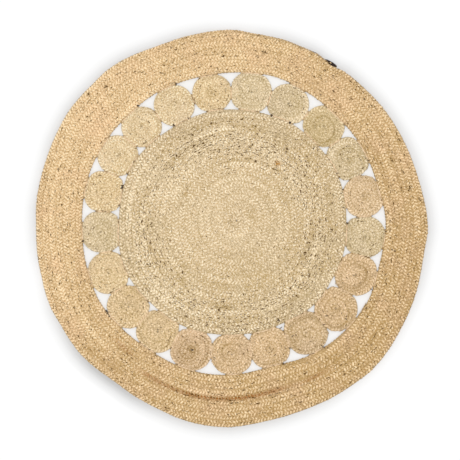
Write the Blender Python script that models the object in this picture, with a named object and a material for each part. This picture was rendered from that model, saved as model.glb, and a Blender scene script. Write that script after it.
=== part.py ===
"""Round jute rug, 900 mm across: a coiled centre, a ring of 21 small coils and a coiled border.

Every coil is one length of flat three-strand jute braid, wound in a spiral and sewn edge to edge.
The small coils are squeezed between the centre, the border and each other, so they are flat where
they meet and leave 42 three-cornered gaps. The border's outer end is bound with dark thread.

Units are metres, +Z is up, and the origin is on the floor in the middle of the rug's bounding box.
Bearings are in degrees, anticlockwise from +X.
"""

import math
from functools import partial
from typing import NamedTuple

import bmesh
import bpy
from mathutils import Vector

MM = 0.001
FULL_TURN = 360.0

# The braid, as it lies in the coils: its crown, the groove between two rows, and the widest level of
# an outer row, which draws in towards the floor.
THICKNESS = 8.0 * MM
GROOVE_HEIGHT = 4.9 * MM
EDGE_HEIGHT = 4.2 * MM
UNDERCUT = 1.2 * MM
LEAST_RISE = 0.01 * MM
WELD = 0.05 * MM

# What stays free between two pieces that touch. The border's opening is a polygon, whose sides stand
# a little inside its curve.
CLEARANCE = 0.3 * MM
OPENING_CLEARANCE = 0.7 * MM
FOUND_WITHIN = 0.01 * MM

# The middle that the centre, the ring and the border's opening share, off the middle of the rug.
RING_MIDDLE = Vector((4.4 * MM, 11.0 * MM))

# The dark binding at the border's outer end, in the dip that the tapered braid leaves in the rim.
BINDING_BEARING = 59.0
BINDING_LENGTH = 26.0 * MM
BINDING_WIDTH = 8.0 * MM
BINDING_THICKNESS = 6.4 * MM
BINDING_DIP = 9.1 * MM
BINDING_SEAT = 1.1 * MM
BINDING_SEGMENTS = 12
BINDING_RINGS = 6
BINDING_BLUNTNESS = 0.6
BINDING_AXIS_SHARE = 0.42


# The rug's edges: radii in millimetres at evenly spaced bearings from 0. The rim's are about the
# origin. The opening, which is the border's inner edge, and the centre's edge have theirs about
# RING_MIDDLE.
RIM = (
    449, 445, 441, 441, 441, 442, 441, 441, 444, 443, 447, 447,
    454, 452, 451, 450, 456, 461, 458, 460, 457, 454, 452, 452,
    448, 450, 450, 454, 450, 452, 448, 442, 445, 447, 453, 456,
    456, 450, 448, 448, 451, 453, 457, 454, 450, 448, 445, 443,
)
OPENING = (
    347, 339, 340, 339, 342, 347, 344, 343, 346, 345, 348, 349,
    347, 350, 355, 350, 348, 350, 346, 338, 348, 353, 354, 345,
)
CENTRE = (
    258, 261, 263, 262, 264, 260, 261, 262, 260, 264, 269, 266,
    264, 270, 270, 264, 264, 260, 256, 256, 256, 263, 259, 261,
)


class SmallCoil(NamedTuple):
    """Where a small coil lies about RING_MIDDLE, and its radius before it is squeezed, in mm."""

    bearing: float
    ring: float
    reach: float


# Clockwise from the one left of the top.
SMALL_COILS = (
    SmallCoil(99.6, 302, 46.0),
    SmallCoil(82.6, 302, 49.5),
    SmallCoil(65.4, 298, 49.0),
    SmallCoil(47.2, 302, 49.0),
    SmallCoil(29.6, 298, 51.0),
    SmallCoil(11.6, 302, 49.5),
    SmallCoil(354.1, 300, 50.0),
    SmallCoil(337.4, 302, 51.0),
    SmallCoil(319.8, 303, 52.5),
    SmallCoil(303.4, 298, 53.0),
    SmallCoil(285.8, 295, 50.5),
    SmallCoil(269.2, 298, 51.0),
    SmallCoil(251.4, 304, 51.0),
    SmallCoil(234.8, 302, 51.0),
    SmallCoil(218.4, 308, 50.5),
    SmallCoil(201.6, 308, 50.0),
    SmallCoil(183.6, 302, 50.5),
    SmallCoil(166.4, 305, 50.5),
    SmallCoil(149.8, 307, 48.0),
    SmallCoil(133.8, 305, 47.5),
    SmallCoil(116.9, 302, 48.0),
)


class Winding(NamedTuple):
    """How a braid is wound: clockwise and outwards, in equal steps, from a core to a tapered end.

    The core is what the first turn goes round, in braid widths.
    """

    start: float
    steps: int
    per_turn: int
    core: float
    taper: int


BORDER_WINDING = Winding(start=329.0, steps=486, per_turn=72, core=0.0, taper=12)
CENTRE_WINDING = Winding(start=200.0, steps=834, per_turn=48, core=0.5, taper=8)
SMALL_WINDING = Winding(start=130.0, steps=60, per_turn=20, core=0.5, taper=5)
# Each small coil's braid starts at a bearing of its own.
SMALL_START_SHIFT = 77.0


class Finish(NamedTuple):
    """Base colour, linear, of one tone of jute or thread, and its roughness."""

    colour: tuple
    roughness: float


BORDER_JUTE = Finish((0.60, 0.41, 0.21), 0.85)
CENTRE_JUTE = Finish((0.56, 0.42, 0.25), 0.85)
PALE_JUTE = Finish((0.58, 0.44, 0.27), 0.85)
GOLDEN_JUTE = Finish((0.60, 0.43, 0.22), 0.85)
DARK_THREAD = Finish((0.035, 0.022, 0.018), 0.8)


def direction(bearing):
    """Unit vector at a bearing."""
    angle = math.radians(bearing)
    return Vector((math.cos(angle), math.sin(angle)))


def bearing_of(offset):
    """Bearing of a vector, from 0 up to 360."""
    return math.degrees(math.atan2(offset.y, offset.x)) % FULL_TURN


def around(bearing, radii):
    """Radius in metres at a bearing, on a smooth closed curve through evenly spaced radii."""
    count = len(radii)
    place = (bearing % FULL_TURN) * count / FULL_TURN
    first = int(place)
    before, start, end, after = (radii[(first + shift) % count] for shift in (-1, 0, 1, 2))
    part = place - first
    rise = (end - before) / 2
    leave = (after - start) / 2
    jump = start - end
    curve = ((2 * jump + rise + leave) * part - 3 * jump - 2 * rise - leave) * part * part
    return (curve + rise * part + start) * MM


def rim_radius(bearing):
    """Radius of the border's outer edge, with the dip that holds the binding."""
    away = abs((bearing - BINDING_BEARING + FULL_TURN / 2) % FULL_TURN - FULL_TURN / 2)
    step = FULL_TURN / BORDER_WINDING.per_turn
    return around(bearing, RIM) - BINDING_DIP * max(0.0, 1 - away / step)


def rug_middle():
    """Middle of the rim's bounding box, which is moved to the origin."""
    step = FULL_TURN / BORDER_WINDING.per_turn
    bearings = [BORDER_WINDING.start - i * step for i in range(BORDER_WINDING.per_turn)]
    rim = [rim_radius(bearing) * direction(bearing) for bearing in bearings]
    return Vector(((min(p.x for p in rim) + max(p.x for p in rim)) / 2,
                   (min(p.y for p in rim) + max(p.y for p in rim)) / 2))


SHIFT = rug_middle()


def braid_edges(winding):
    """Place of the braid's inner edge at each step, in braid widths from the coil's inside.

    A turn's outer edge is the inner edge of the next turn, and the braid tapers away at both ends.
    """
    edges = [winding.core] * winding.per_turn
    for step in range(winding.steps + 1):
        edges.append(edges[step] + min(1.0, step / winding.taper, (winding.steps - step) / winding.taper))
    return edges


def braid_surface(winding, place):
    """Top of a coil as a mesh: a long strip, ridged along its middle, bent into the coil.

    place(bearing, share) gives the point at a share of the way from the coil's inside to its edge.
    """
    edges = braid_edges(winding)
    rows = {k % winding.per_turn: edges[k] for k in range(winding.steps + 1, len(edges))}
    top = bmesh.new()
    bmesh.ops.create_grid(top, x_segments=winding.steps, y_segments=2, size=1.0)
    top.verts.ensure_lookup_table()
    for vert in top.verts:
        step = round((vert.co.x + 1) / 2 * winding.steps)
        across = (vert.co.y + 1) / 2
        inner = edges[step]
        outer = edges[step + winding.per_turn]
        bearing = winding.start - step * FULL_TURN / winding.per_turn
        share = (inner + (outer - inner) * across) / rows[step % winding.per_turn]
        crown = (THICKNESS - GROOVE_HEIGHT) * (outer - inner) if across == 0.5 else 0.0
        vert.co = (*place(bearing, share), GROOVE_HEIGHT + crown)
    bmesh.ops.remove_doubles(top, verts=top.verts, dist=WELD)
    for edge in top.edges:
        edge.smooth = max(vert.co.z for vert in edge.verts) > GROOVE_HEIGHT + LEAST_RISE
    return top


def boundary_loops(mesh):
    """The mesh's open edges, as loops, the widest first."""
    left = {edge for edge in mesh.edges if edge.is_boundary}
    loops = []
    while left:
        loop = [left.pop()]
        ends = set(loop[0].verts)
        grown = True
        while grown:
            grown = [edge for edge in left if ends & set(edge.verts)]
            left.difference_update(grown)
            loop.extend(grown)
            ends.update(vert for edge in grown for vert in edge.verts)
        loops.append(loop)
    return sorted(loops, key=lambda loop: -sum(edge.calc_length() for edge in loop))


def roll_edge_under(mesh, loop, middle, outwards):
    """Lower an open edge to its widest level and carry it down to the floor, drawn in a little.

    outwards is 1 for an outer edge and -1 for the edge of an opening. Returns the edges at the floor.
    """
    for vert in {vert for edge in loop for vert in edge.verts}:
        vert.co.z = EDGE_HEIGHT
    made = bmesh.ops.extrude_edge_only(mesh, edges=loop)["geom"]
    for vert in (item for item in made if isinstance(item, bmesh.types.BMVert)):
        away = (vert.co.xy - middle).normalized() * UNDERCUT * outwards
        vert.co = (vert.co.x - away.x, vert.co.y - away.y, 0.0)
    return [item for item in made if isinstance(item, bmesh.types.BMEdge)]


def close_disc(mesh, middle):
    """Give a round coil its curled-in start on top, its rolled edge and its flat underside."""
    outer, inner = boundary_loops(mesh)
    core = bmesh.ops.edgeloop_fill(mesh, edges=inner)["faces"]
    middles = bmesh.ops.poke(mesh, faces=core)["verts"]
    for vert in middles:
        vert.co.z = THICKNESS
    bmesh.ops.edgeloop_fill(mesh, edges=roll_edge_under(mesh, outer, middle, 1))


def close_ring(mesh, middle):
    """Give the border its two rolled edges and its flat underside."""
    outer, inner = boundary_loops(mesh)
    under_outer = roll_edge_under(mesh, outer, middle, 1)
    under_inner = roll_edge_under(mesh, inner, middle, -1)
    bmesh.ops.bridge_loops(mesh, edges=under_outer + under_inner)


def add_part(name, mesh, finish, collection):
    """Object in the collection from a closed bmesh, smooth but for the edges marked sharp."""
    bmesh.ops.recalc_face_normals(mesh, faces=mesh.faces)
    for face in mesh.faces:
        face.smooth = True
    data = bpy.data.meshes.new(name)
    mesh.to_mesh(data)
    mesh.free()
    data.materials.append(finish)
    part = bpy.data.objects.new(name, data)
    collection.objects.link(part)
    return part


def jute_material(name, finish):
    """Plain material with the tone's colour and roughness."""
    material = bpy.data.materials.new(name)
    material.use_nodes = True
    shader = material.node_tree.nodes["Principled BSDF"]
    shader.inputs["Base Color"].default_value = (*finish.colour, 1.0)
    shader.inputs["Roughness"].default_value = finish.roughness
    shader.inputs["Metallic"].default_value = 0.0
    return material


def border_coil(collection, material):
    """The border: about 6.7 turns of braid between the ring's opening and the uneven rim."""

    def place(bearing, share):
        inner = RING_MIDDLE + around(bearing, OPENING) * direction(bearing)
        return inner.lerp(rim_radius(bearing) * direction(bearing), share) - SHIFT

    mesh = braid_surface(BORDER_WINDING, place)
    close_ring(mesh, RING_MIDDLE - SHIFT)
    return add_part("border_coil", mesh, material, collection)


def disc_place(eye, edge_radius, mean_radius):
    """Place function of a round coil, round at its eye and in step with its outline at its edge."""

    def place(bearing, share):
        formed = mean_radius + (edge_radius(bearing) - mean_radius) * share * share
        return eye + formed * share * direction(bearing) - SHIFT

    return place


def centre_coil(collection, material):
    """The centre: about 17 turns of braid round the rug's middle."""
    mean = sum(CENTRE) * MM / len(CENTRE)
    place = disc_place(RING_MIDDLE, lambda b: around(b, CENTRE), mean)
    mesh = braid_surface(CENTRE_WINDING, place)
    close_disc(mesh, RING_MIDDLE - SHIFT)
    return add_part("centre_coil", mesh, material, collection)


def ring_place(row):
    """Middle of a small coil."""
    return RING_MIDDLE + row.ring * MM * direction(row.bearing)


def has_room(point, eye, neighbours):
    """Whether a small coil at eye may reach a point between the centre, the border and the others."""
    offset = point - RING_MIDDLE
    bearing = bearing_of(offset)
    if offset.length > around(bearing, OPENING) - OPENING_CLEARANCE:
        return False
    if offset.length < around(bearing, CENTRE) + CLEARANCE:
        return False
    for other in neighbours:
        between = other - eye
        if (point - eye).dot(between.normalized()) > (between.length - CLEARANCE) / 2:
            return False
    return True


def squeezed_radius(row, eye, neighbours, bearing):
    """How far a small coil reaches at a bearing from its eye, found by halving."""
    low = 0.0
    high = row.reach * MM
    if has_room(eye + high * direction(bearing), eye, neighbours):
        return high
    while high - low > FOUND_WITHIN:
        tried = (low + high) / 2
        if has_room(eye + tried * direction(bearing), eye, neighbours):
            low = tried
        else:
            high = tried
    return low


def small_coil(number, collection, material):
    """One of the small coils, about three rows of braid, flat where it meets its neighbours."""
    row = SMALL_COILS[number]
    eye = ring_place(row)
    neighbours = [ring_place(SMALL_COILS[(number + side) % len(SMALL_COILS)]) for side in (-1, 1)]
    outline = partial(squeezed_radius, row, eye, neighbours)
    winding = SMALL_WINDING._replace(start=SMALL_WINDING.start + SMALL_START_SHIFT * number)
    step = FULL_TURN / winding.per_turn
    mean = sum(outline(index * step) for index in range(winding.per_turn)) / winding.per_turn
    mesh = braid_surface(winding, disc_place(eye, outline, mean))
    close_disc(mesh, eye - SHIFT)
    return add_part(f"small_coil_{number + 1:02d}", mesh, material, collection)


def end_binding(collection, material):
    """The bound end of the border's braid: a short rounded bar against the rim, flat underneath."""
    mesh = bmesh.new()
    bmesh.ops.create_uvsphere(mesh, u_segments=BINDING_SEGMENTS, v_segments=BINDING_RINGS, radius=0.5)
    inner = rim_radius(BINDING_BEARING) + BINDING_SEAT
    middle = (inner + BINDING_WIDTH / 2) * direction(BINDING_BEARING) - SHIFT
    along = direction(BINDING_BEARING + 90)
    outward = direction(BINDING_BEARING)
    for vert in mesh.verts:
        blunt = math.copysign(abs(2 * vert.co.z) ** BINDING_BLUNTNESS, vert.co.z)
        flat = middle - along * blunt * BINDING_LENGTH / 2 + outward * vert.co.x * BINDING_WIDTH
        vert.co = (flat.x, flat.y, max(0.0, BINDING_THICKNESS * (BINDING_AXIS_SHARE + vert.co.y)))
    return add_part("end_binding", mesh, material, collection)


def build():
    """Clear the scene and make the rug."""
    for leftover in list(bpy.data.objects):
        bpy.data.objects.remove(leftover, do_unlink=True)
    rug = bpy.data.collections.new("round_jute_rug")
    bpy.context.scene.collection.children.link(rug)
    border_coil(rug, jute_material("border_jute", BORDER_JUTE))
    centre_coil(rug, jute_material("centre_jute", CENTRE_JUTE))
    tones = (jute_material("golden_jute", GOLDEN_JUTE), jute_material("pale_jute", PALE_JUTE))
    for number in range(len(SMALL_COILS)):
        small_coil(number, rug, tones[number % 2])
    end_binding(rug, jute_material("dark_thread", DARK_THREAD))


build()
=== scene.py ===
"""Looks of a round rug coiled from three-strand jute braid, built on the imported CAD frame.

The solids hold each coil's outline and its rows as ribs. Here every row is plaited: three flat
strands of jute cross along the middle line of the row, over a thin heart that closes the gaps
between them. The rug lies flat on a pale floor under soft studio light, seen from straight above.
"""

import logging
import math
from dataclasses import dataclass, field, replace
from enum import Enum
from typing import Callable

import bpy
import numpy as np
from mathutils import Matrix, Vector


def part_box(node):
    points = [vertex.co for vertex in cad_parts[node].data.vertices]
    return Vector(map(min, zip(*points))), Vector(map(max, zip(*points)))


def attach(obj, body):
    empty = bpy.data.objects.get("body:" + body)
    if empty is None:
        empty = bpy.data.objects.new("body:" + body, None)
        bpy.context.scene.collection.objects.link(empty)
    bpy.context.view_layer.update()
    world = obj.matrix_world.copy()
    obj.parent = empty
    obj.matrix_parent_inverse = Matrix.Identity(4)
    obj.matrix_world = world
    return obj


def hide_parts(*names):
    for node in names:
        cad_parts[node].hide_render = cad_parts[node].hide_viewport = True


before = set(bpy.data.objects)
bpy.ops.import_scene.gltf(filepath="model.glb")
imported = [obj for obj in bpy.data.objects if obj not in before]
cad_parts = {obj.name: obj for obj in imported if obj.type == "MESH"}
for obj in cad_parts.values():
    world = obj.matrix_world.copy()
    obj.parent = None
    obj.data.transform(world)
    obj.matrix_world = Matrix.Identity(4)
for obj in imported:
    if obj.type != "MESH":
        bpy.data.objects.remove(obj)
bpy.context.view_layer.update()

MM = 0.001
FULL_TURN = 360.0
BODY = "root"
EDGE_HEIGHT = 4.2 * MM  # of the solids' outlines above the floor
FOUND_WITHIN = 0.02 * MM
RUG_THICKNESS = 8.0 * MM
OUTLINE_SPLIT = 0.385  # the border's rim lies outside this radius, and its opening inside it
CENTRE_EYE = (10.5 * MM, 18.6 * MM)  # the centre's spiral starts a little off its middle
MARKS_MIDDLE = (0.2 * MM, 1.4 * MM)  # that the bearings and radii of marks are about
ALL_ROUND = 1e6  # spread of a patch that is a whole ring
TUBE_MARGIN = 0.05  # of a strip's width on the texture map
MAP_ASPECT = 6  # how many times more rows of faces than columns the texture map has
CAP_SIZE = (0.02, 0.3)  # of a tube's end faces on the texture map
LABEL_SHIFT = (0.37, 0.61)  # metres between the patterns of two tubes, across and up
LABEL_STEP = 71.3 * MM  # between the levels of two braids' patterns
LEVELLED = 0.8  # of the height that a flatter strand loses at its crown, it keeps this share
FINE_STEPS = 6  # that each step of a winding is followed in
AT_EDGE = 1e-4  # share of the way across a coil that counts as its edge
SEAM_BREAK = 3 * MM  # a jump this long ends a seam
SMALL_EDGE_STEP, LARGE_EDGE_STEP = 1.0, 0.125  # degrees between the points that seams are found from

UP = np.array([0.0, 0.0, 1.0])

Points = np.ndarray
Place = Callable[[np.ndarray, np.ndarray], Points]


def linear(colour: str) -> tuple[float, float, float, float]:
    """Turn an sRGB hex colour into linear light.

    Args:
        colour: Six hex digits.

    Returns:
        Linear red, green and blue, with an alpha of 1.
    """
    parts = [int(colour[i : i + 2], 16) / 255 for i in (0, 2, 4)]
    light = [c / 12.92 if c <= 0.04045 else ((c + 0.055) / 1.055) ** 2.4 for c in parts]
    return (light[0], light[1], light[2], 1.0)


def cleared(holder: bpy.types.Material | bpy.types.World) -> bpy.types.NodeTree:
    """Turn on a holder's nodes and take them all out."""
    holder.use_nodes = True
    holder.node_tree.nodes.clear()
    return holder.node_tree


def add_node(
    tree: bpy.types.NodeTree, kind: str, settings: dict, links: dict, out: int | str = 0
) -> bpy.types.NodeSocket | None:
    """Add a shader node.

    Args:
        tree: Node tree that the node goes into.
        kind: Blender's name of the node type, without its "ShaderNode".
        settings: Values by the name or number of a socket, or else by the node's own setting.
            "stops" holds a colour ramp's stops, as pairs of place and colour.
        links: Output sockets by the name or number of the socket that each feeds.
        out: Which of the new node's own output sockets is wanted.

    Returns:
        That output socket, or nothing for a node that ends the tree.
    """
    node = tree.nodes.new("ShaderNode" + kind)
    for name, value in settings.items():
        if name == "stops":
            ramp = node.color_ramp.elements
            while len(ramp) < len(value):
                ramp.new(1.0)
            for stop, (place, colour) in zip(ramp, value):
                stop.position, stop.color = place, colour
        elif isinstance(name, int) or name in node.inputs:
            node.inputs[name].default_value = value
        else:
            setattr(node, name, value)
    for name, socket in links.items():
        tree.links.new(socket, node.inputs[name])
    return node.outputs[out] if len(node.outputs) else None


def directions(bearings: np.ndarray) -> Points:
    """Unit vectors at these bearings, in degrees from +X towards +Y, one row each."""
    turned = np.radians(bearings)
    return np.stack([np.cos(turned), np.sin(turned)], -1)


def bearings_of(points: Points) -> np.ndarray:
    """Bearings in degrees of vectors in the rug's plane."""
    return np.degrees(np.arctan2(points[..., 1], points[..., 0])) % FULL_TURN


def bearings_round(count: int) -> np.ndarray:
    """Bearings in even steps all round."""
    return np.arange(count) * FULL_TURN / count


def marked_place(bearing: float, radius: float) -> Points:
    """Place of a mark, whose radius is in mm."""
    return np.array(MARKS_MIDDLE) + radius * MM * directions(np.array(bearing))


def unit(vectors: Points) -> Points:
    """The vectors, each made 1 long."""
    return vectors / np.maximum(np.linalg.norm(vectors, axis=-1, keepdims=True), 1e-9)


def lengths_along(path: Points) -> np.ndarray:
    """Length of a path up to each of its points."""
    return np.concatenate([[0.0], np.cumsum(np.linalg.norm(np.diff(path, axis=0), axis=1))])


def at_height(level: Points, height: float | np.ndarray) -> Points:
    """Points in the rug's plane, raised to a height."""
    return np.column_stack([level, np.broadcast_to(height, len(level))])


def wander(rng: np.random.Generator, along: np.ndarray, step: float, amount: float) -> np.ndarray:
    """A value that drifts smoothly and at random along a length.

    Args:
        rng: Seeded source of the random numbers.
        along: Places along the length, in metres.
        step: Distance over which the value turns, in metres.
        amount: Standard deviation of the value.

    Returns:
        The value at each place.
    """
    knots = rng.normal(0.0, amount, int(along.max() / step) + 3)
    left = np.floor(along / step).astype(int)
    part = along / step - left
    eased = part * part * (3 - 2 * part)
    return knots[left] * (1 - eased) + knots[left + 1] * eased


# Finishes

MIX_A, MIX_B, MIX_OUT = 6, 7, 2  # the colour sockets of Blender's Mix node
# What is painted on the vertices, and the socket that it is read from.
PAINTED = {"lay": "Vector", "row": "Vector", "tone": "Fac", "grain": "Fac", "bark": "Fac", "stain": "Fac"}


@dataclass(frozen=True)
class Pattern:
    """A random pattern, drawn out along the strand or the row."""

    width: float
    stretch: float  # across to along
    detail: float
    roughness: float
    gain: float = 0.0  # how much it adds to the tone


@dataclass(frozen=True)
class PlaitedJute:
    """Retted jute, combed into flat untwisted strands and plaited.

    It gives the eye a matt straw colour with soft silky streaks along each strand, strands of
    slightly different tones side by side, and dark flecks of bark left on the fibre.
    """

    name: str
    pale: str
    mid: str
    deep: str
    tint: str  # of the patches that differ in hue
    bark: str = "583B08"
    stain: str = "9C5E13"
    tint_share: float = 0.5
    fibres: Pattern = Pattern(1.4 * MM, 0.3, 3.0, 0.65, 1.2)  # real ones are 0.1 mm: coarser, to show
    lobes: Pattern = Pattern(2.6 * MM, 0.45, 1.0, 0.6, 2.1)  # the tone changes from lobe to lobe
    mottle: Pattern = Pattern(14.0 * MM, 0.4, 2.0, 0.5, 0.22)
    patches: Pattern = Pattern(70.0 * MM, 1.0, 2.0, 0.5)
    flecks: Pattern = Pattern(2.5 * MM, 0.25, 1.0, 0.5)
    fleck_threshold: float = 0.620
    fleck_softness: float = 0.05
    bump_height: float = 0.35 * MM

    def material(self) -> bpy.types.Material:
        """Build the node tree.

        Returns:
            The finished material.
        """
        made = bpy.data.materials.new(self.name)
        tree = cleared(made)
        lay, row, tone, grain, bark, stain = (
            add_node(tree, "Attribute", {"attribute_name": name}, {}, out) for name, out in PAINTED.items()
        )
        place = add_node(tree, "TexCoord", {}, {}, "Object")
        drawn = ((self.fibres, lay), (self.lobes, lay), (self.mottle, row), (self.patches, place))
        noises = []
        for pattern, layout in (*drawn, (self.flecks, row)):
            stretch = {"operation": "MULTIPLY", 1: (1.0, 1.0, pattern.stretch)}
            stretched = add_node(tree, "VectorMath", stretch, {0: layout})
            look = {"Scale": 1 / pattern.width, "Detail": pattern.detail, "Roughness": pattern.roughness}
            noises.append(add_node(tree, "TexNoise", look, {"Vector": stretched}))
        fibres, lobes, mottle, patches, specks = noises

        # The tone: the three patterns about 0, times the grain, plus what is painted.
        gains = (self.fibres.gain, self.lobes.gain, self.mottle.gain)
        start = {"operation": "MULTIPLY_ADD", 1: gains[0], 2: -0.5 * sum(gains)}
        varied = add_node(tree, "Math", start, {0: fibres})
        for pattern, gain in ((lobes, gains[1]), (mottle, gains[2])):
            varied = add_node(tree, "Math", {"operation": "MULTIPLY_ADD", 1: gain}, {0: pattern, 2: varied})
        toned = add_node(tree, "Math", {"operation": "MULTIPLY_ADD"}, {0: varied, 1: grain, 2: tone})
        level = add_node(tree, "Math", {"operation": "ADD", 1: 0.5}, {0: toned})
        stops = [(0.0, linear(self.deep)), (0.5, linear(self.mid)), (1.0, linear(self.pale))]
        straw = add_node(tree, "ValToRGB", {"stops": stops}, {"Fac": level})

        # Over it a change of hue, the stain, which the lobes break up, and the flecks.
        tinting = {"From Min": 0.45, "From Max": 0.70, "To Max": self.tint_share}
        hue = add_node(tree, "MapRange", tinting, {"Value": patches})
        tint = {"data_type": "RGBA", "blend_type": "COLOR", MIX_B: linear(self.tint)}
        tinted = add_node(tree, "Mix", tint, {0: hue, MIX_A: straw}, MIX_OUT)
        breaking = {"From Min": 0.60, "From Max": 0.46, "To Min": 0.75}
        broken = add_node(tree, "MapRange", breaking, {"Value": lobes})
        soaked = add_node(tree, "Math", {"operation": "MULTIPLY"}, {0: stain, 1: broken})
        brown = {"data_type": "RGBA", MIX_B: linear(self.stain)}
        stained = add_node(tree, "Mix", brown, {0: soaked, MIX_A: tinted}, MIX_OUT)
        raised = add_node(tree, "Math", {"operation": "ADD"}, {0: specks, 1: bark})
        full = self.fleck_threshold + self.fleck_softness
        showing = {"From Min": self.fleck_threshold, "From Max": full, "To Max": 0.95}
        fleck = add_node(tree, "MapRange", showing, {"Value": raised})
        dark = {"data_type": "RGBA", MIX_B: linear(self.bark)}
        colour = add_node(tree, "Mix", dark, {0: fleck, MIX_A: stained}, MIX_OUT)

        # Smooth fibres shine a little, and bark doesn't.
        rough = add_node(tree, "MapRange", {"To Min": 0.92, "To Max": 0.68}, {"Value": fibres})
        sheen = add_node(tree, "MapRange", {"To Min": 0.12, "To Max": 0.0}, {"Value": fleck})
        shine = add_node(tree, "MapRange", {"To Min": 0.3, "To Max": 0.05}, {"Value": fleck})
        relief = {"Strength": 0.7, "Distance": self.bump_height}
        bump = add_node(tree, "Bump", relief, {"Height": fibres})
        links = {"Base Color": colour, "Roughness": rough, "Normal": bump, "Sheen Weight": sheen}
        links["Specular IOR Level"] = shine
        shader = add_node(tree, "BsdfPrincipled", {"Sheen Roughness": 0.5, "IOR": 1.5}, links)
        add_node(tree, "OutputMaterial", {}, {"Surface": shader})
        return made


@dataclass(frozen=True)
class SpunThread:
    """Spun cotton or jute thread, waxed and dyed dark: thin, with a soft twist and a low sheen."""

    name: str
    light: str
    dark: str
    twist_pitch: float = 1.6 * MM
    bump_height: float = 0.15 * MM

    def material(self) -> bpy.types.Material:
        """Build the node tree.

        Returns:
            The finished material.
        """
        made = bpy.data.materials.new(self.name)
        tree = cleared(made)
        lay = add_node(tree, "Attribute", {"attribute_name": "lay"}, {}, "Vector")
        twist = {"Scale": 1 / self.twist_pitch, "Detail": 2.0, "Roughness": 0.6}
        plies = add_node(tree, "TexNoise", twist, {"Vector": lay})
        stops = [(0.35, linear(self.dark)), (0.70, linear(self.light))]
        colour = add_node(tree, "ValToRGB", {"stops": stops}, {"Fac": plies})
        rough = add_node(tree, "MapRange", {"To Min": 0.85, "To Max": 0.6}, {"Value": plies})
        bump = add_node(tree, "Bump", {"Strength": 0.6, "Distance": self.bump_height}, {"Height": plies})
        links = {"Base Color": colour, "Roughness": rough, "Normal": bump}
        shader = add_node(tree, "BsdfPrincipled", {"Specular IOR Level": 0.35, "IOR": 1.5}, links)
        add_node(tree, "OutputMaterial", {}, {"Surface": shader})
        return made


# Marks that lie in one place on the rug


@dataclass(frozen=True)
class Patch:
    """A soft-edged area of the rug, by bearing and radius from the rug's middle."""

    bearing: float
    radius: float  # mm
    spread: float  # half its length round the rug, in degrees
    depth: float  # half its width across the rows, in mm
    strength: float

    def at(self, bearings: np.ndarray, radii: np.ndarray) -> np.ndarray:
        """How strongly it is felt at these bearings and radii (metres)."""
        away = (bearings - self.bearing + FULL_TURN / 2) % FULL_TURN - FULL_TURN / 2
        across_part = ((radii / MM - self.radius) / self.depth) ** 2
        return self.strength * np.exp(-((away / self.spread) ** 2 + across_part))


def patches(*rows: tuple[float, float, float, float, float]) -> tuple[Patch, ...]:
    """Patches from rows of bearing, radius, spread, depth and strength."""
    return tuple(Patch(*row) for row in rows)


def spot(bearing: float, radius: float, length: float, depth: float, strength: float) -> Patch:
    """A small patch, whose half length round the rug is given in mm."""
    return Patch(bearing, radius, math.degrees(length / radius), depth, strength)


def sum_of(patches: tuple[Patch, ...], points: Points) -> np.ndarray:
    """The patches' strengths at these points, added up.

    Args:
        patches: The patches.
        points: Points on the rug, in metres.

    Returns:
        One number for each point.
    """
    offsets = points[:, :2] - np.array(MARKS_MIDDLE)
    bearings, radii = bearings_of(offsets), np.hypot(offsets[:, 0], offsets[:, 1])
    total = np.zeros(len(points))
    for patch in patches:
        total += patch.at(bearings, radii)
    return total


@dataclass(frozen=True)
class Marks:
    """Patches of tone, of bark flecks, of stain and of grain, painted by place, and a slope of painted
    light across the rug.
    """

    tones: tuple[Patch, ...] = ()
    barks: tuple[Patch, ...] = ()
    stains: tuple[Patch, ...] = ()
    grains: tuple[Patch, ...] = ()
    bark_base: float = 0.0
    grain_base: float = 1.0
    tone_base: float = 0.0
    painted_light_slope: float = 0.0  # painted light, per metre: paler towards the side the light falls from, deeper away from it
    painted_light_bearing: float = 120.0  # towards which the rug is painted paler, as the light falls from there

    def painted(self, points: Points) -> dict[str, np.ndarray]:
        """What is painted at each point.

        Args:
            points: Points on the rug, in metres.

        Returns:
            By name: how much paler it is, how much the strands differ in tone there, how much more
            often bark flecks lie there, and how strongly it is stained.
        """
        # Painted light: a slope of tone across the rug, paler towards the light.
        towards = points[:, :2] @ directions(np.array(self.painted_light_bearing))
        return {
            "tone": sum_of(self.tones, points) + self.tone_base + self.painted_light_slope * towards,
            "grain": np.maximum(sum_of(self.grains, points) + self.grain_base, 0.0),
            "bark": sum_of(self.barks, points) + self.bark_base,
            "stain": np.clip(sum_of(self.stains, points), 0.0, 1.0),
        }


@dataclass(frozen=True)
class Stretch:
    """A stretch of one row of braid that is paler or darker than the rest."""

    bearing: float
    radius: float  # mm from the rug's middle
    spread: float  # half its length, in degrees
    strength: float
    one_side: bool = False  # whether only one side of the row shows it


# Meshes


def oblongs(size: tuple[float, float], count: int) -> np.ndarray:
    """The same oblong on the texture map for each of some faces, corner by corner."""
    width, height = size
    return np.tile(np.array([[0.0, 0.0], [width, 0.0], [width, height], [0.0, height]]), (count, 1))


def packed_map(strips: list[np.ndarray]) -> np.ndarray:
    """Lay the strips of face corners side by side in columns that fill a square.

    Args:
        strips: For each tube, its face corners as (column within the strip from 0 to 1, row).

    Returns:
        Places on the texture map, from 0 to 1.
    """
    lengths = [float(strip[:, 1].max()) for strip in strips]
    columns = max(1, round(math.sqrt(sum(lengths) / MAP_ASPECT)))
    height = math.ceil(sum(lengths) / columns) + 1
    placed = []
    before = 0.0
    for strip, length in zip(strips, lengths):
        faces = strip.reshape(-1, 4, 2)
        rows = faces[:, :, 1] + before
        column = np.floor(rows.min(1) / height)
        across = (column[:, None] + TUBE_MARGIN + faces[:, :, 0] * (1 - 2 * TUBE_MARGIN)) / (columns + 1)
        up = (rows - column[:, None] * height + 0.5) / (height + 2)
        placed.append(np.stack([across, up], -1).reshape(-1, 2))
        before += length
    return np.concatenate(placed)


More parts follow.
